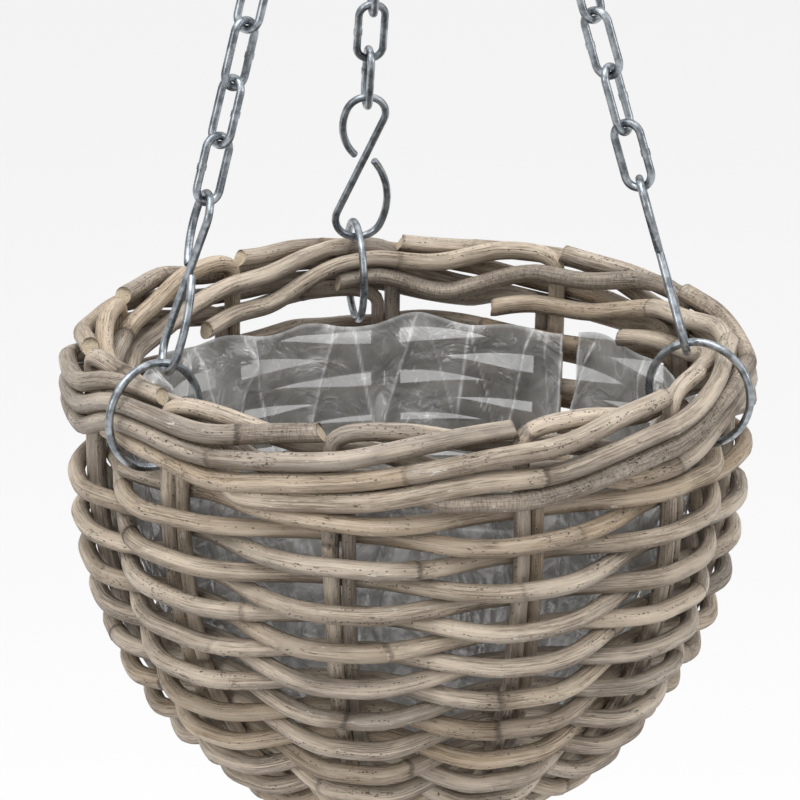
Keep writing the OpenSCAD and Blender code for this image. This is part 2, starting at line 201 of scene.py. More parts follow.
# %% [markdown]
# ## A cane
# Rattan is a climbing palm's stem: round, a little uneven, with a raised joint every hand's
# length or two, where a leaf grew. A tube of even thickness would look like plastic hose. So each
# cane here is a profile carried along its path, with rings set closer at the joints, where it
# swells and a slanting scar runs round it. Each vertex also keeps where it lies on its cane, and
# materials read that: a vector round and along the skin, the distance to the nearest scar, a tone
# for each stretch between joints, how much painted shade darkens it (on its underside, partly
# real grime, and on the wall's inner side), and whether it is on a cut end.

# %% Helpers for paths
def unit(v):
    """Vectors scaled to length one."""
    return v / np.maximum(np.linalg.norm(v, axis=-1, keepdims=True), 1e-12)


def lengths(path):
    """Distance along the path at each of its points."""
    return np.concatenate([[0], np.cumsum(np.linalg.norm(np.diff(path, axis=0), axis=1))])


def resampled(path, at):
    """Points of the path at the given distances along it."""
    s = lengths(path)
    return np.stack([np.interp(at, s, path[:, i]) for i in range(3)], -1)


def carried_axes(tangents, first):
    """A direction square to the path at each ring, carried from ring to ring without twist."""
    axes = np.empty_like(tangents)
    axis = np.asarray(first, float)
    for i, tangent in enumerate(tangents):
        axis = axis - (axis @ tangent) * tangent
        axis = axis / np.linalg.norm(axis)
        axes[i] = axis
    return axes


def waver(s, rng, wavelength, size):
    """Smooth wandering along s in three directions: a sum of three sines of random phase."""
    waves = wavelength * np.array([0.7, 1.0, 1.7])
    phases = rng.uniform(0, 2 * np.pi, (3, 3))
    angles = 2 * np.pi * s[:, None, None] / waves[None, :, None] + phases[None]
    return size / 3 * np.sin(angles).sum(1)


# %% Joints along a cane
joint_spacing = np.array([130, 330]) * MM
joint_rings = np.array([-8, -5, -3.4, -2.3, -1.5, -0.9, -0.4, 0, 0.4, 0.9, 1.5, 2.3, 3.4, 5, 8]) * MM


def joint_values(s, theta, joints, rng):
    """For each ring and side: distance past the nearest scar, the scar's strength and the swell.

    A scar is a ring tilted by a cosine of the angle round the cane and roughened by two more.
    The swell is a bell curve before the scar, wider than the one cut in just past it.
    """
    count = len(joints)
    slant = rng.uniform(0.2, 1.5, count) * MM
    turn, rough_turn = rng.uniform(0, 2 * np.pi, (2, count))
    strength = rng.uniform(0.25, 1.0, count)
    nearest = np.abs(s[:, None] - joints[None]).argmin(1)
    tilt = slant[nearest, None] * np.cos(theta[None] - turn[nearest, None])
    tilt = tilt + 0.35 * MM * np.sin(3 * theta[None] + rough_turn[nearest, None])
    past = (s - joints[nearest])[:, None] - tilt
    power = strength[nearest, None]
    before = np.where(past < 0, np.exp(-((past / (3.2 * MM)) ** 2)), np.exp(-((past / (0.9 * MM)) ** 2)))
    groove = np.exp(-(((past - 1.6 * MM) / (0.9 * MM)) ** 2))
    return past, np.broadcast_to(power, past.shape), power * (0.075 * before - 0.035 * groove)


# %% The cane itself
ring_spacing = 2.8 * MM
end_round = 0.7 * MM
end_shrink = 0.9
fade_run = 30 * MM
wander_length = 110 * MM
swell_share, lobe_two, lobe_three = 0.028, 0.022, 0.012
warmth_spread = 0.24
# Painted shade: the undersides of the canes and the inner side of the wall are darkened in colour, the
# undersides partly for real grime.
underside_shade_and_dirt, underside_reach, inner_shade = 0.9, 0.1, 0.75
border_foot = -6 * MM


def cane(path, d, rng, first, sides=16, tone=0.5, warmth=0.5, wander=0.35 * MM, calm=None, slant=0.25,
         ticked=0.0, spread=0.16):
    """Cane along a path, as a dict of arrays; d is its diameter, or one for each point of the path.

    A ring is its centre plus the radius times (cosine of the axis plus sine of the cross axis).
    """
    along = lengths(path)
    total = along[-1]
    joints = np.cumsum(rng.uniform(*joint_spacing, int(total / joint_spacing[0]) + 3))
    joints = joints - rng.uniform(0, joint_spacing[1])
    near = (joints[:, None] + joint_rings[None]).ravel()
    even = np.linspace(0, total, max(4, int(total / ring_spacing) + 1))
    ends = np.array([end_round, total - end_round])
    s = np.unique(np.round(np.concatenate([even, near[(near > 0) & (near < total)], ends]), 5))
    centre = resampled(path, s)
    fade = np.clip(np.minimum(s, total - s) / fade_run, 0, 1)
    if calm is not None:
        fade = fade * np.interp(s, along, calm)
    centre = centre + waver(s, rng, wander_length, wander) * fade[:, None]
    tangent = unit(np.gradient(centre, s, axis=0))
    axis = carried_axes(tangent, first)
    cross = np.cross(tangent, axis)
    theta = np.arange(sides) / sides * 2 * np.pi
    past, power, swell = joint_values(s, theta, joints, rng)
    width = np.interp(s, along, np.broadcast_to(d, along.shape)) / 2
    slow = np.sin(s / 0.031 + rng.uniform(0, 6)), np.sin(s / 0.083 + rng.uniform(0, 6))
    slow = 1 + swell_share * slow[0] * slow[1]
    radius = width * slow * np.where((s <= 0) | (s >= total - 1e-9), end_shrink, 1.0)
    lobes = 1 + lobe_two * np.sin(2 * theta[None] + rng.uniform(0, 6) + s[:, None] / 0.09)
    lobes = lobes + lobe_three * np.sin(3 * theta[None] + rng.uniform(0, 6) - s[:, None] / 0.06)
    rings = radius[:, None] * (lobes + swell)
    outward = np.cos(theta)[None, :, None] * axis[:, None] + np.sin(theta)[None, :, None] * cross[:, None]
    points = centre[:, None] + rings[..., None] * outward
    points[-1] += (slant * rings[-1] * np.cos(theta))[:, None] * tangent[-1]
    offset = rng.uniform(0, 50)
    skin = np.stack(
        np.broadcast_arrays(
            np.cos(theta)[None] * width.mean(), np.sin(theta)[None] * width.mean(), (s + offset)[:, None]
        ),
        -1,
    )
    stretch = np.searchsorted(joints, s)
    tones = np.clip(tone + rng.normal(0, spread, len(joints) + 1), 0, 1)[stretch]
    warmths = np.clip(warmth + rng.normal(0, warmth_spread, len(joints) + 1), 0, 1)[stretch]
    ticks = (rng.uniform(0, 1, len(joints) + 1) < ticked).astype(float)[stretch]
    # Painted shade: sides that face down or in towards the bowl get a darker colour; on the undersides it is
    # partly real grime.
    radial = unit(centre * [1, 1, 0])
    inward = np.clip(-(outward * radial[:, None]).sum(-1), 0, 1)
    inward = inward * (centre[:, 2] < bowl_z + border_foot)[:, None]
    below = np.clip(-outward[..., 2] + underside_reach, 0, 1)
    shade_and_dirt = np.clip(underside_shade_and_dirt * below + inner_shade * inward, 0, 1)
    shape = (len(s), sides)
    return {
        "points": points,
        "skin": skin,
        "joint": past,
        "scar": power,
        "tone": np.broadcast_to(tones[:, None], shape),
        "warmth": np.broadcast_to(warmths[:, None], shape),
        "ticks": np.broadcast_to(ticks[:, None], shape),
        "shade_and_dirt": shade_and_dirt,
        "cut": np.zeros(shape),
    }


# %% Canes into one mesh
def tube_faces(rings, sides, first):
    """Quads between rings of vertices numbered ring by ring, and a cap's triangles at both ends.

    The caps' middles are the last two vertices, and their rims are copies of the end rings.
    """
    i, j = np.meshgrid(np.arange(rings - 1), np.arange(sides), indexing="ij")
    a = i * sides + j
    b = i * sides + (j + 1) % sides
    walls = np.stack([a, b, b + sides, a + sides], -1).reshape(-1, 4)
    k = np.arange(sides)
    rim, far = rings * sides, (rings + 1) * sides
    middle = (rings + 2) * sides
    near_cap = np.stack([rim + (k + 1) % sides, rim + k, np.full(sides, middle)], -1)
    far_cap = np.stack([far + k, far + (k + 1) % sides, np.full(sides, middle + 1)], -1)
    return walls + first, np.concatenate([near_cap, far_cap]) + first


def with_caps(values, flag=False):
    """A cane's ring values followed by those of its caps: both rims again, then both middles."""
    ends = values[[0, -1]]
    middles = ends.mean(1)
    flat = [values.reshape(-1, *values.shape[2:]), ends.reshape(-1, *values.shape[2:]), middles]
    if flag:
        flat[1] = np.ones_like(flat[1])
        flat[2] = np.ones_like(flat[2])
    return np.concatenate(flat)


def tubes_mesh(name, tubes):
    """Mesh of several capped tubes, each an array of rings of points, and its triangle count."""
    quads, tris, first = [], [], 0
    for points in tubes:
        rings, sides = points.shape[:2]
        q, t = tube_faces(rings, sides, first)
        quads.append(q)
        tris.append(t)
        first += (rings + 2) * sides + 2
    quads, tris = np.concatenate(quads), np.concatenate(tris)
    vertices = np.concatenate([with_caps(points) for points in tubes])
    mesh = bpy.data.meshes.new(name)
    mesh.from_pydata(vertices.tolist(), [], quads.tolist() + tris.tolist())
    mesh.shade_smooth()
    return mesh, len(quads) * 2 + len(tris)


def add_piece(name, mesh, material, node_names, body):
    """Object of that mesh, riding on a body in place of the named solids."""
    mesh.materials.append(material)
    piece = bpy.data.objects.new(name, mesh)
    bpy.context.scene.collection.objects.link(piece)
    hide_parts(*node_names)
    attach(piece, body)
    return piece


def cane_object(name, canes, material, node_names):
    """One mesh object that holds all the given canes, with their values as attributes."""
    mesh, triangles = tubes_mesh(name, [c["points"] for c in canes])
    for key in ("joint", "scar", "tone", "warmth", "ticks", "shade_and_dirt", "cut"):
        values = np.concatenate([with_caps(c[key], key == "cut") for c in canes])
        mesh.attributes.new(key, "FLOAT", "POINT").data.foreach_set("value", values.astype(np.float32))
    skins = np.concatenate([with_caps(c["skin"]) for c in canes])
    mesh.attributes.new("skin", "FLOAT_VECTOR", "POINT").data.foreach_set(
        "vector", skins.astype(np.float32).ravel()
    )
    print(name, len(canes), "canes", triangles, "triangles")
    return add_piece(name, mesh, material, node_names, "basket")


# %% [markdown]
# ## The skin of a cane
# Weathered rattan is grey and beige in long fine streaks, with small dark pits where fibres
# have broken, chalky flecks, a dark scar at each joint and a paler, porous cut end. Painting that
# by hand on 25 metres of cane isn't possible, so it is built from noise that is stretched along the
# cane. Several materials share the grain, so it is a node group with named inputs and outputs.

# %% Helpers for node trees
def new_group(name, inputs, outputs):
    """Empty shader node group with its sockets: name to (type, default) in, name to type out."""
    group = bpy.data.node_groups.new(name, "ShaderNodeTree")
    for label, (kind, value) in inputs.items():
        socket = group.interface.new_socket(label, in_out="INPUT", socket_type="NodeSocket" + kind)
        if value is not None:
            socket.default_value = value
    for label, kind in outputs.items():
        group.interface.new_socket(label, in_out="OUTPUT", socket_type="NodeSocket" + kind)
    return group, group.nodes.new("NodeGroupInput"), group.nodes.new("NodeGroupOutput")


def node(tree, kind, links=None, **values):
    """A node of that kind: values set its properties, links its inputs, as constants or sockets."""
    made = tree.nodes.new("ShaderNode" + kind)
    for key, value in values.items():
        setattr(made, key, value)
    for key, value in (links or {}).items():
        if isinstance(value, bpy.types.NodeSocket):
            tree.links.new(value, made.inputs[key])
        else:
            made.inputs[key].default_value = value
    return made


def maths(tree, operation, a, b=0.0, clamp=False):
    """Output of a Math node."""
    return node(tree, "Math", {0: a, 1: b}, operation=operation, use_clamp=clamp).outputs[0]


def times(tree, *values):
    """Product of all the values."""
    product = values[0]
    for value in values[1:]:
        product = maths(tree, "MULTIPLY", product, value)
    return product


def ramp(tree, value, low, high, start=0.0, end=1.0):
    """Value moved from the span low to high onto start to end, smoothly and clamped."""
    made = node(
        tree, "MapRange", {"Value": value, 1: low, 2: high, 3: start, 4: end}, interpolation_type="SMOOTHSTEP"
    )
    return made.outputs[0]


def mixed(tree, share, a, b, blend="MIX"):
    """Output of a colour Mix node."""
    made = node(tree, "Mix", {"Factor": share}, data_type="RGBA", blend_type=blend)
    for index, value in ((6, a), (7, b)):
        if isinstance(value, bpy.types.NodeSocket):
            tree.links.new(value, made.inputs[index])
        else:
            made.inputs[index].default_value = (*value, 1)
    return made.outputs[2]


def stretched_noise(tree, place, scale, squeeze, detail=3.0, roughness=0.55):
    """Noise on place, so many waves to the metre, with its third direction stretched by squeeze."""
    moved = node(tree, "Mapping", {"Vector": place, "Scale": (scale, scale, scale * squeeze)})
    links = {"Vector": moved.outputs[0], "Scale": 1.0, "Detail": detail, "Roughness": roughness}
    return node(tree, "TexNoise", links).outputs[0]


# %% Node group: grain of a cane
grain_noises = (  # waves to the metre, squeeze along the cane, detail, roughness
    (1350, 0.022, 2.0, 0.65),  # fibres
    (2900, 0.055, 1.0, 0.5),  # hairs
    (330, 0.035, 3.0, 0.6),  # bands
    (60, 0.35, 4.0, 0.6),  # patches
    (130, 0.30, 3.0, 0.6),  # clumps
    (1050, 0.42, 2.0, 0.6),  # specks
    (480, 0.012, 1.0, 0.5),  # rows
    (700, 0.2, 3.0, 0.7),  # chalk
    (300, 4.2, 1.0, 0.5),  # ticks
)


def make_cane_grain():
    """Streaks, pits and flecks: noise drawn out along the cane, kept where it passes a threshold.

    Broad patches decide where streaks are dense, and a coarser noise where pits gather.
    """
    group, into, out = new_group(
        "cane grain",
        {"Place": ("Vector", None), "Pitting": ("Float", 0.5)},
        {"Streaks": "Float", "Bands": "Float", "Patches": "Float", "Pits": "Float", "Flecks": "Float",
         "Ticks": "Float", "Height": "Float"},
    )
    place = into.outputs["Place"]
    fibres, hairs, bands, patches, clumps, specks, rows, chalk, ticks = (
        stretched_noise(group, place, *values) for values in grain_noises
    )
    dot_place = node(group, "Mapping", {"Vector": place, "Scale": (760, 760, 480)}).outputs[0]
    dots = node(group, "TexVoronoi", {"Vector": dot_place, "Scale": 1.0}, feature="F1").outputs["Distance"]
    patchy = ramp(group, patches, 0.38, 0.62)
    streaks = maths(group, "ADD", times(group, ramp(group, fibres, 0.47, 0.64), 0.8),
                    times(group, ramp(group, hairs, 0.47, 0.66), 0.5))
    density = maths(group, "ADD", 0.35, times(group, patchy, 0.65))
    streaks = maths(group, "MULTIPLY", streaks, density, clamp=True)
    threshold = maths(group, "SUBTRACT", 0.70, times(group, into.outputs["Pitting"], 0.14))
    above = maths(group, "SUBTRACT", specks, threshold)
    pits = times(group, ramp(group, above, -0.02, 0.035), ramp(group, clumps, 0.53, 0.63))
    pricks = times(group, ramp(group, dots, 0.14, 0.3, 1.0, 0.0), ramp(group, rows, 0.57, 0.63))
    pits = maths(group, "MAXIMUM", pits, pricks)
    flecks = times(group, ramp(group, chalk, 0.6, 0.68), ramp(group, clumps, 0.36, 0.5, 1.0, 0.0))
    broad = ramp(group, bands, 0.3, 0.7)
    sunk = maths(group, "ADD", times(group, streaks, 0.4), pits)
    height = maths(group, "SUBTRACT", times(group, broad, 0.5), sunk)
    height = maths(group, "ADD", height, times(group, flecks, 0.3))
    for label, value in (
        ("Streaks", streaks), ("Bands", broad), ("Patches", patchy), ("Pits", pits), ("Flecks", flecks),
        ("Ticks", ramp(group, ticks, 0.5, 0.6)), ("Height", height),
    ):
        group.links.new(value, out.inputs[label])
    return group


cane_grain = make_cane_grain()
print("group", cane_grain.name, len(cane_grain.nodes), "nodes")

# %% Cane material
pale = (0.64, 0.54, 0.43)
grey = (0.29, 0.25, 0.208)
ochre = (0.43, 0.325, 0.215)
brown = (0.12, 0.082, 0.05)
pit_colour = (0.032, 0.024, 0.017)
chalk_colour = (0.80, 0.765, 0.70)
pith = (0.52, 0.43, 0.31)


def attribute(tree, name, output="Fac"):
    """Output of an Attribute node that reads the mesh's own values."""
    return node(tree, "Attribute", attribute_name=name).outputs[output]


def cane_material(name, darkness=0.0, pitting=0.5):
    """Rattan skin: pale, grey and ochre by tone and streak, with pits, scars, cut ends, and painted shade on
    undersides and the inner wall that is partly grime.
    """
    material = bpy.data.materials.new(name)
    material.use_nodes = True
    tree = material.node_tree
    shader = tree.nodes["Principled BSDF"]
    skin = attribute(tree, "skin", "Vector")
    tone, warmth, shade_and_dirt = (attribute(tree, key) for key in ("tone", "warmth", "shade_and_dirt"))
    joint, scar_power, cut = (attribute(tree, key) for key in ("joint", "scar", "cut"))
    grain = node(tree, "Group", node_tree=cane_grain)
    tree.links.new(skin, grain.inputs["Place"])
    grain.inputs["Pitting"].default_value = pitting
    streaks, bands, patches, pits, flecks, ticks, height = (grain.outputs[i] for i in range(7))
    shade = maths(tree, "ADD", times(tree, bands, 0.38), times(tree, tone, 0.75))
    # Painted shade: undersides and the wall's inner side lose lightness here, along with real broad patches.
    gloom = maths(tree, "ADD", times(tree, shade_and_dirt, 0.55), times(tree, patches, 0.22))
    shade = maths(tree, "SUBTRACT", shade, gloom)
    colour = mixed(tree, ramp(tree, shade, 0.0 + darkness, 0.85 + darkness), grey, pale)
    warm = times(tree, ramp(tree, warmth, 0.4, 1.0), maths(tree, "SUBTRACT", 1.1, times(tree, bands, 0.7)))
    colour = mixed(tree, warm, colour, ochre)
    colour = mixed(tree, times(tree, streaks, 0.72), colour, brown)
    # Painted shade, partly real grime: undersides and the wall's inner side are mixed towards brown.
    shade_and_grime = times(tree, shade_and_dirt, maths(tree, "ADD", 0.38, times(tree, patches, 0.4)))
    colour = mixed(tree, shade_and_grime, colour, brown)
    colour = mixed(tree, times(tree, flecks, 0.65), colour, chalk_colour)
    colour = mixed(tree, times(tree, ticks, attribute(tree, "ticks"), 0.45), colour, brown)
    colour = mixed(tree, times(tree, pits, 0.85), colour, pit_colour)
    ragged = times(tree, maths(tree, "SUBTRACT", streaks, 0.4), 0.0016)
    distance = maths(tree, "ABSOLUTE", maths(tree, "ADD", joint, ragged))
    scar = times(tree, ramp(tree, distance, 0.0002, 0.0019, 1.0, 0.0), scar_power)
    halo = times(tree, ramp(tree, maths(tree, "ABSOLUTE", joint), 0.001, 0.012, 1.0, 0.0), scar_power,
                 maths(tree, "ADD", 0.35, patches))
    colour = mixed(tree, times(tree, halo, 0.5), colour, brown)
    colour = mixed(tree, times(tree, scar, 0.75), colour, pit_colour)
    pores = node(tree, "TexVoronoi", {"Scale": 1500.0}, feature="F1")
    tree.links.new(node(tree, "TexCoord").outputs["Object"], pores.inputs["Vector"])
    pore = ramp(tree, pores.outputs["Distance"], 0.15, 0.4, 0.6, 0.0)
    colour = mixed(tree, cut, colour, mixed(tree, pore, pith, brown))
    tree.links.new(colour, shader.inputs["Base Color"])
    rough = maths(tree, "ADD", 0.38, times(tree, streaks, 0.3))
    dulled = maths(tree, "ADD", times(tree, patches, 0.12), times(tree, shade_and_dirt, 0.15))
    rough = maths(tree, "ADD", rough, dulled, clamp=True)
    tree.links.new(rough, shader.inputs["Roughness"])
    shader.inputs["Specular IOR Level"].default_value = 0.45
    relief = maths(tree, "SUBTRACT", height, times(tree, scar, 1.2))
    bump = node(tree, "Bump", {"Height": relief, "Strength": 0.9, "Distance": 0.0007})
    tree.links.new(bump.outputs[0], shader.inputs["Normal"])
    return material


weaver_skin = cane_material("weaving cane skin", pitting=0.5)
stake_skin = cane_material("stake cane skin", darkness=0.04, pitting=0.6)
print("materials", weaver_skin.name, stake_skin.name)

# %% [markdown]
# ## Stakes and border
# Each stake is one cane from the base to the end of the border: up the wall beside its pair, then
# over to the right into the border. The right one of a pair comes out from behind its neighbour
# and climbs one place at each pair that it passes; the left one makes the border's top and inside.
# Modelling the border as a separate twisted ring would lose that. So the path is worked out in
# three parts, wall, bend and border, in the solids' own terms, and the fine cane is carried along.

# %% The border's section
climb_share = 0.8
inner_start, inner_end = 4, 6.3
outer_end = inner_start - (pair_offset + stake_d / 2 + cane_gap) / (stake_r * pair_angle)
border_slots = np.array([
    low_pass, low_pass + side_step, high_pass, high_pass + low_pass, high_pass + 2 * low_pass,
    high_pass + 2 * low_pass + side_step, high_pass + 2 * low_pass + 2 * side_step,
])


def oval_point(u):
    """Distance out and up from the border's middle at run u: an upright oval with round ends."""
    low = np.clip(u, 0, oval_quarter) / oval_r
    top_start, top_end = oval_quarter + oval_side, 3 * oval_quarter + oval_side
    top = (np.clip(u, top_start, top_end) - top_start) / oval_r
    up = np.clip(u - oval_quarter, 0, oval_side)
    down = np.clip(u - top_end, 0, None)
    over = u > top_start
    out = np.where(over, oval_r * np.cos(top), oval_r * np.sin(low))
    rise_low = -oval_side / 2 - oval_r * np.cos(low) + up
    rise_top = oval_side / 2 + oval_r * np.sin(top) - down
    return out, np.where(over, rise_top, rise_low)


def section_point(n, early=0.0):
    """Out and up after n pairs: first the cane comes out, then it moves up slot by slot."""
    n = np.asarray(n, float)
    slot = np.clip(np.floor(n).astype(int), 1, len(border_slots) - 1)
    low, high = border_slots[slot - 1], border_slots[slot]
    u = np.where(n < 1, border_slots[0], low + (high - low) * eased((n - slot) / climb_share))
    out, up = oval_point(u)
    way_out = eased((n - 0.3 + 0.15 * early) / (0.58 - 0.13 * early))
    return np.where(n < 1, out * way_out, out), up


# %% How the border wanders
arches = np.radians([[146, 17], [213, 9], [238, 13], [117, 12], [20, 10]])
arch_rise = np.array([6, 3, 3.5, 3, 2]) * MM
hang_pairs = [0.2, 0.5, 1, 2, 3, 4, 5, 5.6, 6.3]
hang_drops = np.array([0, 8.4, 8.4, 7.2, 6.3, 0.8, 5, 11, 13]) * MM


def border_point(k, n, start):
    """Point of the cane of pair k after n pairs, on the oval, with the border's own unevenness.

    All canes drift together in slow waves, the outer and the innermost ones hang, topmost ones
    arch clear of the rest here and there, and an inner cane's cut end stands off inwards.
    """
    az = pair_az + (k + n - start) * pair_angle
    free = freedom(az)
    out, up = section_point(n, free)
    hang = np.interp(n, hang_pairs, hang_drops) * freedom(az, 18)
    drift = 0.9 * np.sin(5 * az + 0.7) + 0.7 * np.sin(9 * az + 2.1)
    bulge = 0.7 * np.sin(4 * az + 1.9) + 0.5 * np.sin(11 * az)
    topmost = np.sin(np.pi * np.clip((n - 2.2) / 1.6, 0, 1)) ** 2
    rise = (arch_rise[:, None] * np.exp(-((turned(az[None], arches[:, :1]) / arches[:, 1:]) ** 2))).sum(0)
    loose = eased((n - inner_end + 0.36) / 0.36)
    out = out + (bulge * MM - 4.5 * MM * loose) * free
    up = up - hang + (drift * MM + rise * topmost) * free
    return around(stake_r + out, az, border_mid + up)


# %% Path of a stake
slim_stake_d = 7.0 * MM
wall_stake_d = 8.4 * MM
border_cane_d = 9.5 * MM
right_set_back = 0.9 * MM
handle_share = 0.47
wall_calm, bend_calm = 0.6, 0.8


def stake_path(k, left):
    """Wall, then a four-point bend, then the border, with a diameter and a calm for each point."""
    az = pair_az + k * pair_angle
    shift, start, end = (-pair_offset, inner_start, inner_end) if left else (pair_offset, 0, outer_end)
    bend_share = (shift + bend_run) / (stake_r * pair_angle)
    foot = border_mid + section_point(start)[1] - bend_drop
    t = np.linspace(wall_end_run + base_tuck, -foot, 140)
    r, z = wall_point(t)
    set_back = 0.0 if left else right_set_back
    wall = around(r - set_back, az, z) + (shift - set_back) * sideways(az)
    handle_n = np.array([start + bend_share * (1 - handle_share), start + bend_share])
    handles = np.concatenate([wall[-1:], wall[-1:] + [0, 0, bend_drop], border_point(k, handle_n, start)])
    s = np.linspace(0, 1, 40)[1:, None]
    bend = (1 - s) ** 3 * handles[0] + 3 * s * (1 - s) ** 2 * handles[1]
    bend = bend + 3 * s**2 * (1 - s) * handles[2] + s**3 * handles[3]
    n = np.linspace(start + bend_share, end, 300)[1:]
    border = border_point(k, n, start)
    free = freedom(pair_az + (k + n - start) * pair_angle)
    wall_d = np.full(len(t), wall_stake_d if left else slim_stake_d)
    bend_d = wall_d[-1] + (border_cane_d - wall_d[-1]) * s[:, 0]
    border_d = stake_d + (border_cane_d - stake_d) * free
    calm = np.concatenate([np.full(len(t), wall_calm), np.full(len(s), bend_calm), free])
    return np.concatenate([wall, bend, border]), np.concatenate([wall_d, bend_d, border_d]), calm


# %% All the stakes
rng = np.random.default_rng(11)
left_tone, right_tone, tone_spread = 0.66, 0.32, 0.13


def stake_canes(first, last):
    """Both canes of each pair from first to last, the left one of a pair paler."""
    made = []
    for k in range(first, last + 1):
        for left in (True, False):
            path, thick, calm = stake_path(k, left)
            tone = np.clip(rng.normal(left_tone if left else right_tone, tone_spread), 0, 1)
            made.append(
                cane(path, thick, rng, sideways(pair_az + k * pair_angle), tone=tone, calm=calm,
                     warmth=rng.normal(0.42, 0.2), wander=0.8 * MM, slant=0.55, ticked=0.06, spread=0.2)
            )
    return made


cane_object("stakes_front_canes", stake_canes(-2, 3), stake_skin, ["stakes_front"])
cane_object("stakes_rear_canes", stake_canes(4, 8), stake_skin, ["stakes_rear"])

# %% [markdown]
# ## The weave
# One spiral of cane passes in front of one pair and behind the next. With an odd number of pairs
# it changes sides each time round, so its rows lock. Six canes make up the spiral, joined behind
# a pair. The distance from the stake line swings between plus and minus one reach, flat where the
# cane presses on a pair and smooth between them.

# %% Path of a weaving cane
push_rows = 4
first_push = 3.2 * MM
dive_start, dive_share = 0.78, 0.2
butt_gap = 0.012


def sway(w, half, step):
    """Side of the stakes at wave w, from -1 behind to 1 in front: level near a pair, else eased."""
    base = np.floor(w)
    frac = w - base
    side = np.where(base % 2 == 0, -1.0, 1.0)
    flat = half / step
    return side * (1 - 2 * eased((frac - flat) / (1 - 2 * flat)))


def row_run(w):
    """Run down the wall at wave w."""
    return first_row + row_pitch * (w - start_wave) / pair_count


def settled_run(t, az):
    """Run with the rows' own drift: slow waves, and the first rows pushed up under the border.

    Each turn of the spiral would sink by a row, so it is pushed up by as much, till it dives again.
    """
    rows_down = (t - first_row) / row_pitch
    upper = np.clip(1 - rows_down / push_rows, 0, 1)
    free = 1 - upper * (1 - freedom(az))
    flat = np.clip((wall_run - t) / (30 * MM), 0, 1)
    drift = 0.9 * np.sin(3 * az + rows_down / 3.1) + 0.6 * np.sin(8 * az - rows_down / 2.3 + 1)
    turn_share = rows_down % 1
    pushed_up = row_pitch * turn_share * (1 - eased((turn_share - dive_start) / dive_share)) * upper
    return t - pushed_up + (drift * MM * flat - first_push * eased(upper)) * free


def weaver_path(start, end):
    """Points of the spiral from wave start to wave end."""
    w = np.linspace(start, end, int((end - start) * 34) + 2)
    az = pair_az + w * pair_angle
    t = row_run(w)
    r, _ = wall_point(t)
    reach = weave_reach * sway(w, pair_offset + stake_d / 2, r * pair_angle)
    return off_wall(settled_run(t, az), az, reach)


joint_waves = [2 * int(i * wave_count / weaver_count / 2 + 0.5) for i in range(weaver_count + 1)]
joint_waves[0] = start_wave
for i in range(weaver_count):
    path = weaver_path(joint_waves[i], joint_waves[i + 1] - butt_gap)
    made = cane(path, weaver_d, rng, (0, 0, 1), tone=rng.normal(0.62, 0.06), warmth=rng.normal(0.55, 0.12),
                wander=0.6 * MM, ticked=0.03, spread=0.22)
    cane_object(f"weaver_{i + 1}_cane", [made], weaver_skin, [f"weaver_{i + 1}"])

# %% [markdown]
# ## The base
# Sticks crossed in two layers are opened out into a star, one under each pair of stakes, and a
# thin cane is woven round them. The liner hides it from above, but it shows from below.

# %% Base sticks and their weaving
stick_spacing = base_stick_d + cane_gap
hub_half = 1.5 * stick_spacing
base_reach = base_stick_d / 2 + base_weaver_d / 2 + cane_gap
base_edge_r = base_r - base_tuck - cane_gap
base_start = wall_end_run + base_tuck + cane_gap + base_weaver_d / 2
base_waves = int((base_r - (base_start - wall_end_run) - hub_r) / base_pitch * pair_count)


def arm(k, group_az, place, layer, start):
    """From the crossed middle, where sticks lie side by side, to the direction of pair k."""
    r = np.linspace(start, base_edge_r, 50)
    s = eased((r - hub_half) / (hub_r - base_weaver_d - hub_half))[:, None]
    straight = around(r, group_az, 0) + place * stick_spacing * sideways(group_az)
    radial = around(r, pair_az + k * pair_angle, 0)
    lift = base_z + layer * (1 - s[:, 0]) * stick_spacing / 2
    return straight * (1 - s) + radial * s + np.stack([0 * r, 0 * r, lift], -1)


def through(k, m, group_az, place, layer):
    """A stick from the direction of pair m through the middle to that of pair k."""
    there = arm(k, group_az, place, layer, hub_half / 2)
    back = arm(m, group_az + np.pi, -place, layer, hub_half / 2)
    return np.concatenate([back[::-1], there])


up_az = pair_az + pair_angle
side_az = up_az + np.pi / 2
stick_paths = [
    through(0, 7, up_az, -1, 1), through(1, 6, up_az, 0, 1), through(2, 5, up_az, 1, 1),
    through(3, 10, side_az, -1, -1), through(4, 8, side_az, 1, -1),
    arm(9, side_az + np.pi, 0, -1, -stick_spacing),
]
sticks = [
    cane(path, base_stick_d, rng, (0, 0, 1), tone=0.5, warmth=0.4, wander=0.1 * MM) for path in stick_paths
]
cane_object("base_stick_canes", sticks, stake_skin, ["base_sticks"])
w = np.linspace(0, base_waves, base_waves * 26)
run = base_start + base_pitch * w / pair_count
base_path = off_wall(run, pair_az + w * pair_angle,
                     base_reach * sway(w, base_stick_d * 0.4, wall_point(run)[0] * pair_angle))
base_cane = cane(base_path, base_weaver_d, rng, (0, 0, 1), sides=12, tone=0.55, warmth=0.5, wander=0.1 * MM)
cane_object("base_weaving_cane", [base_cane], weaver_skin, ["base_weaver"])

# %% [markdown]
# ## The liner
# A round of clear film, pushed down into the bowl and stapled under the border. A flat round can't
# lie smooth in a bowl, so it gathers in folds, often two that meet in a point like a V. The
# surface is a grid of direction and run, pushed inwards by such folds. Where two edges of the film
# don't quite meet, a slit shows the canes behind.

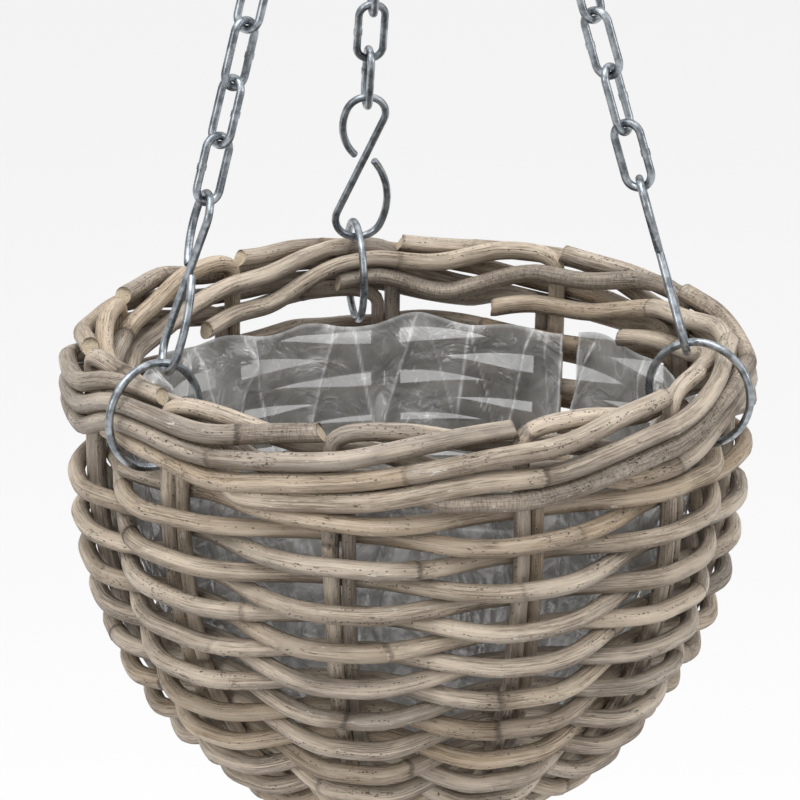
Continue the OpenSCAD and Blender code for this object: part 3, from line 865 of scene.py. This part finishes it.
# %% The liner's folds
liner_out = weave_reach + weaver_d / 2 + cane_gap
liner_top = first_row - weaver_d / 2
liner_columns, liner_rows = 820, 120
rim_raise = 4.5
film_gap = 0.35 * MM
middle_gap = 0.97
fold_count = 46
slit_az, slit_half, slit_depth = np.radians(143.6), np.radians(2.1), 100 * MM
fold_rng = np.random.default_rng(5)
fold_az = np.repeat(np.linspace(0, 2 * np.pi, fold_count // 2, endpoint=False), 2)
fold_az = fold_az + np.repeat(fold_rng.uniform(-0.1, 0.1, fold_count // 2), 2)
fold_foot = liner_top + np.repeat(fold_rng.uniform(35, 130, fold_count // 2), 2) * MM
fold_lean = np.tile([1, -1], fold_count // 2) * fold_rng.uniform(0.4, 2.6, fold_count)
fold_width = fold_rng.uniform(0.018, 0.055, fold_count)
fold_depth = fold_rng.uniform(1.5, 7.5, fold_count) * MM


def fold_field(t, az):
    """Inward push of all folds, and a painted highlight along each fold's crest.

    A fold's line leaves its foot and drifts aside as it climbs; across it the push falls off like
    a pointed bell, and the painted highlight is the same bell made much narrower.
    """
    push, crest_highlight = np.zeros_like(t), np.zeros_like(t)
    for centre, foot, lean, width, depth in zip(fold_az, fold_foot, fold_lean, fold_width, fold_depth):
        climb = foot - t
        x = turned(az, centre + lean * climb) / width
        live = eased(climb / (14 * MM) + 0.3)
        push += depth * live * np.exp(-np.abs(x) ** 1.4)
        crest_highlight = np.maximum(crest_highlight, live * np.exp(-((x / 0.10) ** 2)) * min(1.0, depth / (3.5 * MM)))
    return push, crest_highlight


def loop_field(t, az):
    """Painted highlight lines: parabolas that hang from the rim like a pinched crease."""
    crest_highlight = np.zeros_like(t)
    for centre in fold_rng.uniform(0, 2 * np.pi, 18):
        low = liner_top + fold_rng.uniform(28, 75) * MM
        curve = low - fold_rng.uniform(9, 30) * (turned(az, centre) ** 2)
        crest_highlight = np.maximum(crest_highlight, np.exp(-(((t - curve) / (0.7 * MM)) ** 2)) * (t > liner_top + 4 * MM))
    return crest_highlight


# %% The liner's surface
def liner_surface():
    """Wall curve set in by the weave, less folds, small crumples, its painted highlight lines and its slit
    values.
    """
    one_turn = np.linspace(0, 2 * np.pi, liner_columns, endpoint=False)
    az = np.broadcast_to(one_turn, (liner_rows, liner_columns))
    top = liner_top + (2.4 * np.sin(7 * az + 1) + 1.6 * np.sin(17 * az + 2) - rim_raise * freedom(az)) * MM
    share = np.linspace(0, 1, liner_rows)[:, None]
    t = top * (1 - share) + (wall_end_run + base_r * middle_gap) * share
    push, crest_highlight = fold_field(t, az)
    crumple = 0.8 * np.abs(np.sin(37 * az + 90 * t + 2 * np.sin(9 * az)))
    crumple = crumple + 0.6 * np.abs(np.sin(23 * az - 130 * t))
    flat = np.clip(1 - (t - wall_run) / (40 * MM), 0.15, 1)
    rim = np.clip((t - liner_top) / (9 * MM) + 0.3, 0, 1)
    inward = (push + crumple * MM) * flat * rim
    aside, cut_here = np.abs(turned(az, slit_az)), t < liner_top + slit_depth
    slit = np.clip(1 - aside / slit_half, 0, 1) * cut_here
    # Painted highlights: bright lines along both edges of the slit and along the film's top rim.
    edge = np.exp(-(((aside - slit_half) / np.radians(0.35)) ** 2)) * cut_here
    crest_highlight = np.maximum(np.maximum(crest_highlight, loop_field(t, az)), edge)
    crest_highlight = np.maximum(crest_highlight, np.exp(-(((t - top) / (0.8 * MM)) ** 2)))
    return off_wall(t, az, -(liner_out + film_gap) - inward), crest_highlight, (slit > 0).astype(float)


# %% The liner's material
def film_material():
    """Clear film: a grey veil, its lighter and darker patches partly painted light and shade, with painted
    highlights: white lines on creases and sharp glints on small crinkles.
    """
    material = bpy.data.materials.new("clear film")
    material.use_nodes = True
    tree = material.node_tree
    shader = tree.nodes["Principled BSDF"]
    place = node(tree, "TexCoord").outputs["Object"]
    crest_highlight, slit = attribute(tree, "crest_highlight"), attribute(tree, "slit")
    crinkle = node(tree, "TexNoise", {"Vector": place, "Scale": 34.0, "Detail": 4.0, "Roughness": 0.5,
                                      "Distortion": 1.8}).outputs[0]
    haze_and_fold_light = node(tree, "TexNoise", {"Vector": place, "Scale": 14.0, "Detail": 3.0}).outputs[0]
    facing = node(tree, "LayerWeight", {"Blend": 0.35}).outputs["Facing"]
    # Painted highlights: on crinkle ridges, fold crests, loops, the slit's edges and the rim, the film turns
    # nearly opaque and near white.
    glint = maths(tree, "SUBTRACT", 1.0, maths(tree, "ABSOLUTE", maths(tree, "SUBTRACT", crinkle, 0.5)))
    glint = times(tree, ramp(tree, glint, 0.972, 1.0), ramp(tree, haze_and_fold_light, 0.42, 0.62))
    bright = maths(tree, "MAXIMUM", times(tree, glint, 0.35), times(tree, crest_highlight, 0.7))
    alpha = maths(tree, "ADD", 0.66, times(tree, ramp(tree, haze_and_fold_light, 0.35, 0.7), 0.16))
    alpha = maths(tree, "ADD", alpha, times(tree, facing, 0.22))
    alpha = maths(tree, "MAXIMUM", alpha, times(tree, bright, 0.9))
    alpha = times(tree, alpha, maths(tree, "SUBTRACT", 1.0, slit))
    tree.links.new(alpha, shader.inputs["Alpha"])
    # Partly painted light and shade: the veil's broad lighter and darker patches stand for soft light and
    # shade on folds, besides the film's real milkiness.
    veil = mixed(tree, ramp(tree, haze_and_fold_light, 0.3, 0.72), (0.22, 0.217, 0.208), (0.42, 0.417, 0.403))
    tree.links.new(mixed(tree, bright, veil, (0.92, 0.93, 0.94)), shader.inputs["Base Color"])
    shader.inputs["Roughness"].default_value = 0.16
    shader.inputs["Specular IOR Level"].default_value = 1.0
    shader.inputs["Coat Weight"].default_value = 1.0
    shader.inputs["Coat Roughness"].default_value = 0.05
    bump = node(tree, "Bump", {"Height": crinkle, "Strength": 0.7, "Distance": 0.007})
    tree.links.new(bump.outputs[0], shader.inputs["Normal"])
    return material


# %% The liner's piece
def closed_rows(rows, columns):
    """Quads of a grid whose columns close on themselves, wound to face the axis."""
    i, j = np.meshgrid(np.arange(rows - 1), np.arange(columns), indexing="ij")
    a = i * columns + j
    b = i * columns + (j + 1) % columns
    return np.stack([a, b, b + columns, a + columns], -1).reshape(-1, 4)


points, crest_highlight, slit = liner_surface()
grid = closed_rows(liner_rows, liner_columns)
vertices = np.concatenate([points.reshape(-1, 3), [points[-1].mean(0)]])
last = (liner_rows - 1) * liner_columns
k = np.arange(liner_columns)
fan = np.stack([last + k, last + (k + 1) % liner_columns, np.full(len(k), len(vertices) - 1)], -1)
mesh = bpy.data.meshes.new("liner_film")
mesh.from_pydata(vertices.tolist(), [], grid.tolist() + fan.tolist())
for key, values in (("crest_highlight", crest_highlight), ("slit", slit)):
    values = np.append(values.ravel(), 0.0).astype(np.float32)
    mesh.attributes.new(key, "FLOAT", "POINT").data.foreach_set("value", values)
mesh.shade_smooth()
liner = add_piece("liner_film", mesh, film_material(), ["liner"], "basket")

# %% [markdown]
# ## Wire
# Galvanised wire is steel with a thin coat of zinc: grey with a faint blue, bright where it
# catches the light, and unevenly dull. The chain's links and the rings keep their solids and get a
# material. The S-hooks are bent again here, because the real ones end in a long, slack tail.

# %% Galvanised wire
def zinc_material(name, colour, dull, rough):
    """Zinc: metal whose colour and roughness vary in soft patches and fine dark specks, with a fine bump."""
    material = bpy.data.materials.new(name)
    material.use_nodes = True
    tree = material.node_tree
    shader = tree.nodes["Principled BSDF"]
    place = node(tree, "TexCoord").outputs["Object"]
    broad = {"Vector": place, "Scale": 150.0, "Detail": 5.0, "Roughness": 0.65}
    patches = node(tree, "TexNoise", broad).outputs[0]
    small = {"Vector": place, "Scale": 1100.0, "Detail": 3.0, "Roughness": 0.7}
    fine = node(tree, "TexNoise", small).outputs[0]
    specks = ramp(tree, fine, 0.62, 0.7)
    base = mixed(tree, ramp(tree, patches, 0.38, 0.62), dull, colour)
    tinted = mixed(tree, times(tree, specks, 0.5), base, (0.12, 0.12, 0.12))
    tree.links.new(tinted, shader.inputs["Base Color"])
    wear = maths(tree, "ADD", rough, times(tree, patches, 0.2))
    tree.links.new(maths(tree, "ADD", wear, times(tree, fine, 0.1)), shader.inputs["Roughness"])
    shader.inputs["Metallic"].default_value = 1.0
    bump = node(tree, "Bump", {"Height": fine, "Strength": 0.35, "Distance": 0.0002})
    tree.links.new(bump.outputs[0], shader.inputs["Normal"])
    return material


zinc = zinc_material("galvanised wire", (0.42, 0.455, 0.485), (0.18, 0.20, 0.22), 0.15)
staple_steel = zinc_material("staple wire", (0.70, 0.71, 0.72), (0.5, 0.51, 0.52), 0.14)

# %% Where the hooks hang
wire_gap = 0.35 * MM
links_per_chain = 13
hook_len, hook_top_w, hook_low_w = 92 * MM, 25 * MM, 29 * MM
link_inner = 36.5 * MM - 2 * wire_d
top_spread = np.radians(30)
hook_top_r, hook_low_r = (hook_top_w - wire_d) / 2, (hook_low_w - wire_d) / 2
hook_centres = hook_len - wire_d - hook_top_r - hook_low_r
hook_lean = np.arcsin((hook_top_r + hook_low_r) / hook_centres)
hook_span = hook_len - 2 * wire_d
top_gap = 0.8 * MM
chain_full = links_per_chain * link_inner + hook_span - top_gap
contacts = links_per_chain + 1
chain_run = chain_full - contacts * wire_gap
top_ring_z = wire_gap - hook_span - ring_inner_r
ring_place_r = stake_r - ring_inset
chain_lean = np.arcsin((ring_place_r - ring_inner_r / 2) / chain_run)
seat_r = ring_place_r - ring_inner_r * np.sin(chain_lean)
low_seats = around(seat_r, chain_az, border_mid + ring_lift + ring_inner_r * np.cos(chain_lean))
seat_angles = np.array([-top_spread, top_spread, 0])
top_seats = np.stack([ring_inner_r * np.sin(seat_angles), 0 * seat_angles,
                      top_ring_z - ring_inner_r * np.cos(seat_angles)], -1)


hook_turns = np.radians([-21, 22.7, 0])


def hook_frame(k):
    """Origin of hook k, its own x and its own z: hung on its chain's last link, along the chain."""
    reach = low_seats[k] - top_seats[k]
    run = unit(reach)
    gap = (chain_full - np.linalg.norm(reach)) / contacts
    side = sideways(chain_az[k] + hook_turns[k])
    side = unit(side - (side @ run) * run)
    origin = top_seats[k] + run * (links_per_chain * (link_inner - gap) - top_gap)
    return origin, side * [1, 1, -1][k], -run


# %% Bending a hook
upper_tail = (28 * MM, np.radians(64))
lower_tail = (42 * MM, np.radians(58))


def loop_points(r, start, tail):
    """Half a turn of radius r from the angle start, then the slacker tail: its radius and turn."""
    tail_r, tail_turn = tail
    a = np.linspace(0, np.pi, 40) + start
    round_part = r * np.stack([np.cos(a), np.sin(a)], -1)
    b = np.linspace(0, tail_turn, 24)[1:] + start + np.pi
    tail_middle = (r - tail_r) * np.array([np.cos(start + np.pi), np.sin(start + np.pi)])
    tail = tail_middle + tail_r * np.stack([np.cos(b), np.sin(b)], -1)
    return np.concatenate([round_part, tail])


def hook_object(name, origin, x, z, body):
    """S-hook: upper tail and loop, straight shank, lower loop and tail, as one round wire."""
    top_z = wire_d / 2 - hook_top_r
    upper = loop_points(hook_top_r, -hook_lean, upper_tail) + [0, top_z]
    lower = loop_points(hook_low_r, np.pi - hook_lean, lower_tail) + [0, top_z - hook_centres]
    flat = np.concatenate([upper[::-1], lower])
    path = origin + flat[:, :1] * x + flat[:, 1:] * z
    total = lengths(path)[-1]
    s = np.concatenate([[0, 0.15, 0.5, 1.0] * np.array(MM), np.arange(2 * MM, total - 1.5 * MM, 1 * MM),
                        total - np.array([1.0, 0.5, 0.15, 0]) * MM])
    centre = resampled(path, s)
    tangent = unit(np.gradient(centre, s, axis=0))
    across = np.broadcast_to(np.cross(z, x), tangent.shape)
    ends = np.minimum(s, total - s)
    radius = wire_d / 2 * (1 - 0.22 * np.clip(1 - ends / (0.6 * MM), 0, 1) ** 2)
    theta = np.arange(20) / 20 * 2 * np.pi
    third = np.cross(tangent, across)
    points = centre[:, None] + radius[:, None, None] * (
        np.cos(theta)[None, :, None] * across[:, None] + np.sin(theta)[None, :, None] * third[:, None]
    )
    mesh, triangles = tubes_mesh(name, [points])
    print(name, triangles, "triangles")
    return add_piece(name, mesh, zinc, [body], body)


for k, chain in enumerate(("left", "right", "rear")):
    hook_object(chain + "_hook_wire", *hook_frame(k), chain + "_hook")
hook_object("top_hook_wire", np.zeros(3), np.array([0.0, 1, 0]), np.array([0.0, 0, 1]), "top_hook")

# %% The wire solids' material
for name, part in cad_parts.items():
    if part.hide_render:
        continue
    part.data.materials.clear()
    part.data.materials.append(staple_steel if name == "staples" else zinc)
    part.data.shade_smooth()
print("wire pieces", sum(not part.hide_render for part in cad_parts.values()))

# %% [markdown]
# ## Camera, floor and light
# The photo was taken from about two metres away with a long lens, looking a little down. The
# light is wide and soft from above, so the undersides of the canes stay dark, deepened by painted
# shade in their colour, and the sky of the studio is paler overhead than at the sides.

# %% Camera
view_distance = 2.2
view_rise = np.radians(18.8)
pixels_per_metre = 1989
frame_pixels = 800
target_px = np.array([408.5, 441.2])
aim_z = bowl_z - 23 * MM
focal_px = view_distance * pixels_per_metre
tilt = view_rise - np.arctan((target_px[1] - frame_pixels / 2) / focal_px)
aside = (frame_pixels / 2 - target_px[0]) / pixels_per_metre
camera_data = bpy.data.cameras.new("camera")
camera_data.sensor_width = 36
camera_data.lens = 36 * focal_px / frame_pixels
camera_data.clip_end = 100
camera = bpy.data.objects.new("camera", camera_data)
camera.location = (aside, -view_distance * np.cos(view_rise), aim_z + view_distance * np.sin(view_rise))
camera.rotation_euler = (np.pi / 2 - tilt, 0, 0)
bpy.context.scene.collection.objects.link(camera)
bpy.context.scene.camera = camera
print("lens", round(camera_data.lens, 1), "mm, tilt", round(np.degrees(tilt), 2))

# %% Floor and light
def soft_light(name, place, aim, size, power):
    """Square area light at place, turned towards aim."""
    data = bpy.data.lights.new(name, "AREA")
    data.size = size
    data.energy = power
    lamp = bpy.data.objects.new(name, data)
    lamp.location = place
    direction = np.array(aim) - np.array(place)
    flat = np.hypot(direction[0], direction[1])
    lamp.rotation_euler = (np.arctan2(flat, -direction[2]), 0, np.arctan2(-direction[0], direction[1]))
    bpy.context.scene.collection.objects.link(lamp)
    return lamp


floor_drop = 0.9
floor_half = 40.0
floor_z = cad_box[0].z - floor_drop
floor_mesh = bpy.data.meshes.new("floor")
corners = ((-1, -1), (1, -1), (1, 1), (-1, 1))
floor_mesh.from_pydata(
    [(x * floor_half, y * floor_half, floor_z) for x, y in corners], [], [(0, 1, 2, 3)]
)
floor = bpy.data.objects.new("floor", floor_mesh)
floor_paint = bpy.data.materials.new("pale floor")
floor_paint.use_nodes = True
floor_shader = floor_paint.node_tree.nodes["Principled BSDF"]
floor_shader.inputs["Base Color"].default_value = (0.78, 0.78, 0.78, 1)
floor_shader.inputs["Roughness"].default_value = 0.9
floor_mesh.materials.append(floor_paint)
bpy.context.scene.collection.objects.link(floor)
world = bpy.data.worlds.new("studio")
world.use_nodes = True
sky = world.node_tree
height = node(sky, "SeparateXYZ", {"Vector": node(sky, "TexCoord").outputs["Generated"]}).outputs["Z"]
brightness = ramp(sky, height, 0.0, 0.8, 0.35, 1.3)
sky.links.new(brightness, sky.nodes["Background"].inputs["Strength"])
sky.nodes["Background"].inputs["Color"].default_value = (1, 1, 1, 1)
bpy.context.scene.world = world
bpy.context.scene.view_settings.view_transform = "Standard"
middle_z = bowl_z - 60 * MM
soft_light("overhead", (-0.5, -0.6, middle_z + 2.4), (0, 0, middle_z), 1.6, 30)
soft_light("front left", (-2.0, -2.0, middle_z + 1.1), (0, 0, middle_z), 1.0, 12)
soft_light("right", (2.4, -0.6, middle_z + 0.9), (0, 0, middle_z), 0.8, 8)
print("floor at", round(floor_z, 3))
